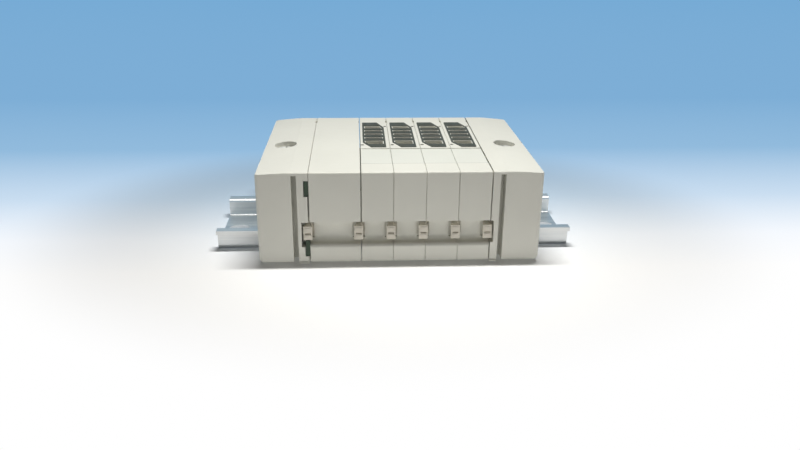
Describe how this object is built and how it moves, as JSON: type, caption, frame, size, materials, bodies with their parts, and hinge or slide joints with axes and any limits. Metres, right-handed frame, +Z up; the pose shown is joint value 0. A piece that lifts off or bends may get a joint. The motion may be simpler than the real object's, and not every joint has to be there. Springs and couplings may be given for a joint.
{
  "type": "pneumatic valve island",
  "caption": "Rail-mounted pneumatic manifold: an electrics module and valve stations with five-port gaskets between two clamping end plates, tube connections at the rear",
  "frame": {"origin": "middle of the rail's length and of the body's depth, on the surface the rail's foot stands on", "axes": "+X along the rail towards the supply end plate, +Y from the front channel to the tube connections at the rear, +Z up"},
  "size_m": [0.123, 0.07, 0.0326],
  "materials": {
    "housing": "fine moulded grain, warm grey-white",
    "cover": "same moulding grain as the housings",
    "clip": "slightly warmer natural plastic",
    "rail_steel": "bright zinc plate, rolled along its length",
    "screw_steel": "bright nickel plate",
    "clamp_steel": "zinc-plated steel",
    "board": "green solder mask",
    "gasket": "black nitrile, satin",
    "seal": "black nitrile",
    "cartridge": "grey moulded",
    "release_ring": "black moulded",
    "connector_shell": "nickel-plated brass",
    "connector_insert": "black moulded",
    "contact": "gold-flashed"
  },
  "bodies": {
    "island": {"din_rail": "rail_steel", "left_end_plate": "housing", "right_end_plate": "housing", "bus_board": "board", "electrics_module": "housing", "connector_shell": "connector_shell", "connector_insert": "connector_insert", "connector_pins": "contact", "valve_base_1": "housing", "port_gasket_1": "gasket", "plug_cover_1": "cover", "station_board_1": "board", "station_1_cartridges": "cartridge", "valve_base_2": "housing", "port_gasket_2": "gasket", "plug_cover_2": "cover", "station_board_2": "board", "station_2_cartridges": "cartridge", "valve_base_3": "housing", "port_gasket_3": "gasket", "plug_cover_3": "cover", "station_board_3": "board", "station_3_cartridges": "cartridge", "valve_base_4": "housing", "port_gasket_4": "gasket", "plug_cover_4": "cover", "station_board_4": "board", "station_4_cartridges": "cartridge", "joint_seal_1": "seal", "joint_seal_2": "seal", "joint_seal_3": "seal", "joint_seal_4": "seal", "joint_seal_5": "seal", "supply_cartridges": "cartridge"},
    "left_screw": {"left_lock_screw": "screw_steel"},
    "right_screw": {"right_lock_screw": "screw_steel"},
    "left_clamp": {"left_rail_clamp": "clamp_steel"},
    "right_clamp": {"right_rail_clamp": "clamp_steel"},
    "clip_1": {"coupling_clip_1": "clip"},
    "clip_2": {"coupling_clip_2": "clip"},
    "clip_3": {"coupling_clip_3": "clip"},
    "clip_4": {"coupling_clip_4": "clip"},
    "clip_5": {"coupling_clip_5": "clip"},
    "clip_6": {"coupling_clip_6": "clip"},
    "station_1_upper_ring": {"station_1_upper_ring": "release_ring"},
    "station_1_lower_ring": {"station_1_lower_ring": "release_ring"},
    "station_2_upper_ring": {"station_2_upper_ring": "release_ring"},
    "station_2_lower_ring": {"station_2_lower_ring": "release_ring"},
    "station_3_upper_ring": {"station_3_upper_ring": "release_ring"},
    "station_3_lower_ring": {"station_3_lower_ring": "release_ring"},
    "station_4_upper_ring": {"station_4_upper_ring": "release_ring"},
    "station_4_lower_ring": {"station_4_lower_ring": "release_ring"},
    "supply_upper_ring": {"supply_upper_ring": "release_ring"},
    "supply_lower_ring": {"supply_lower_ring": "release_ring"}
  },
  "joints": [
    {"name": "clip_1_slide", "type": "slide", "parent": "island", "child": "clip_1", "axis": [0, 0, 1], "range_m": [0, 0.0014]},
    {"name": "clip_2_slide", "type": "slide", "parent": "island", "child": "clip_2", "axis": [0, 0, 1], "range_m": [0, 0.0014]},
    {"name": "clip_3_slide", "type": "slide", "parent": "island", "child": "clip_3", "axis": [0, 0, 1], "range_m": [0, 0.0014]},
    {"name": "clip_4_slide", "type": "slide", "parent": "island", "child": "clip_4", "axis": [0, 0, 1], "range_m": [0, 0.0014]},
    {"name": "clip_5_slide", "type": "slide", "parent": "island", "child": "clip_5", "axis": [0, 0, 1], "range_m": [0, 0.0014]},
    {"name": "clip_6_slide", "type": "slide", "parent": "island", "child": "clip_6", "axis": [0, 0, 1], "range_m": [0, 0.0014]},
    {"name": "left_screw_turn", "type": "hinge", "parent": "island", "child": "left_screw", "pos_m": [-0.0382, -0.002, 0.028], "axis": [0, 0, 1], "range_deg": [0, 823]},
    {"name": "left_clamp_slide", "type": "slide", "parent": "island", "child": "left_clamp", "axis": [0, 0, -1], "range_m": [0, 0.0016]},
    {"name": "right_screw_turn", "type": "hinge", "parent": "island", "child": "right_screw", "pos_m": [0.0404, -0.002, 0.028], "axis": [0, 0, 1], "range_deg": [0, 823]},
    {"name": "right_clamp_slide", "type": "slide", "parent": "island", "child": "right_clamp", "axis": [0, 0, -1], "range_m": [0, 0.0016]},
    {"name": "station_1_upper_press", "type": "slide", "parent": "island", "child": "station_1_upper_ring", "axis": [0, -1, 0], "range_m": [0, 0.0009], "stiffness_N_per_m": 150},
    {"name": "station_1_lower_press", "type": "slide", "parent": "island", "child": "station_1_lower_ring", "axis": [0, -1, 0], "range_m": [0, 0.0009], "stiffness_N_per_m": 150},
    {"name": "station_2_upper_press", "type": "slide", "parent": "island", "child": "station_2_upper_ring", "axis": [0, -1, 0], "range_m": [0, 0.0009], "stiffness_N_per_m": 150},
    {"name": "station_2_lower_press", "type": "slide", "parent": "island", "child": "station_2_lower_ring", "axis": [0, -1, 0], "range_m": [0, 0.0009], "stiffness_N_per_m": 150},
    {"name": "station_3_upper_press", "type": "slide", "parent": "island", "child": "station_3_upper_ring", "axis": [0, -1, 0], "range_m": [0, 0.0009], "stiffness_N_per_m": 150},
    {"name": "station_3_lower_press", "type": "slide", "parent": "island", "child": "station_3_lower_ring", "axis": [0, -1, 0], "range_m": [0, 0.0009], "stiffness_N_per_m": 150},
    {"name": "station_4_upper_press", "type": "slide", "parent": "island", "child": "station_4_upper_ring", "axis": [0, -1, 0], "range_m": [0, 0.0009], "stiffness_N_per_m": 150},
    {"name": "station_4_lower_press", "type": "slide", "parent": "island", "child": "station_4_lower_ring", "axis": [0, -1, 0], "range_m": [0, 0.0009], "stiffness_N_per_m": 150},
    {"name": "supply_upper_press", "type": "slide", "parent": "island", "child": "supply_upper_ring", "axis": [0, -1, 0], "range_m": [0, 0.0009], "stiffness_N_per_m": 150},
    {"name": "supply_lower_press", "type": "slide", "parent": "island", "child": "supply_lower_ring", "axis": [0, -1, 0], "range_m": [0, 0.0009], "stiffness_N_per_m": 150}
  ],
  "couplings": [
    {"joint": "left_screw_turn", "follows": "left_clamp_slide", "rad_per_m": 8976},
    {"joint": "right_screw_turn", "follows": "right_clamp_slide", "rad_per_m": 8976}
  ]
}
